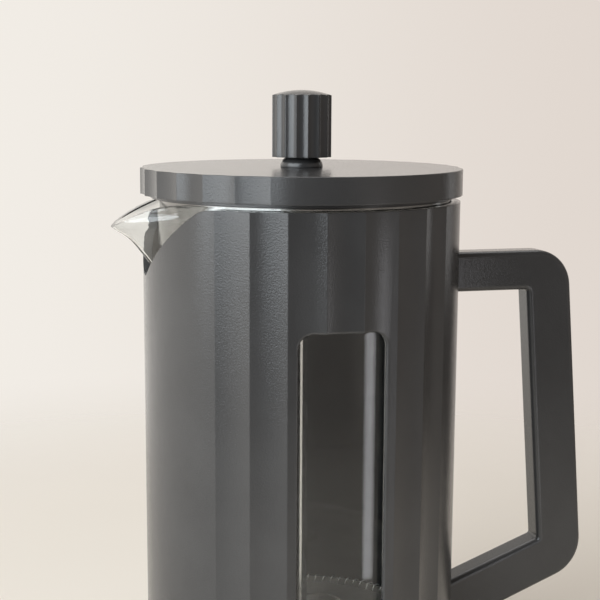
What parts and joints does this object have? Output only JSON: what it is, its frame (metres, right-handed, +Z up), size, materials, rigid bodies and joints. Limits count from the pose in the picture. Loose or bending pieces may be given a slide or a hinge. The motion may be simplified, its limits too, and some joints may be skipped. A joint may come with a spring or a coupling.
{
  "type": "french press",
  "caption": "Glass coffee press in a fluted plastic housing with side windows and a D handle; the plunger slides through the lid and drives a coil-edged mesh filter down the carafe.",
  "frame": {"origin": "centre of the foot ring's underside, on the press's axis at the table", "axes": "+Z up along the plunger, +X towards the handle, -X towards the spout"},
  "size_m": [0.1538, 0.0978, 0.1866],
  "materials": {
    "grey_plastic": "fine moulded grain",
    "nut_plastic": "plain",
    "silicone": "matte",
    "clear_glass": "clear",
    "satin_steel": "satin",
    "bright_steel": "bright",
    "screw_steel": "zinc plated",
    "mesh_steel": "fine woven wire",
    "brass": "machined"
  },
  "bodies": {
    "housing": {"housing": "grey_plastic", "handle": "grey_plastic", "handle_screws": "screw_steel", "foot_ring": "silicone", "glass_cushion": "silicone"},
    "carafe": {"glass_carafe": "clear_glass"},
    "lid": {"lid_cover": "grey_plastic", "lid_liner": "satin_steel", "guide_collar": "grey_plastic", "collar_nut": "nut_plastic"},
    "plunger": {"knob": "grey_plastic", "knob_insert": "brass", "rod": "bright_steel", "stop_washer": "bright_steel", "spring_plate": "satin_steel", "edge_spring": "bright_steel", "mesh_screen": "mesh_steel", "cross_plate": "satin_steel", "hub_nut": "bright_steel"}
  },
  "joints": [
    {"name": "carafe_lift", "type": "slide", "parent": "housing", "child": "carafe", "axis": [0, 0, 1], "range_m": [0, 0.15]},
    {"name": "lid_lift", "type": "slide", "parent": "carafe", "child": "lid", "axis": [0, 0, 1], "range_m": [0, 0.15]},
    {"name": "plunger_slide", "type": "slide", "parent": "lid", "child": "plunger", "axis": [0, 0, 1], "range_m": [0, 0.12]}
  ]
}
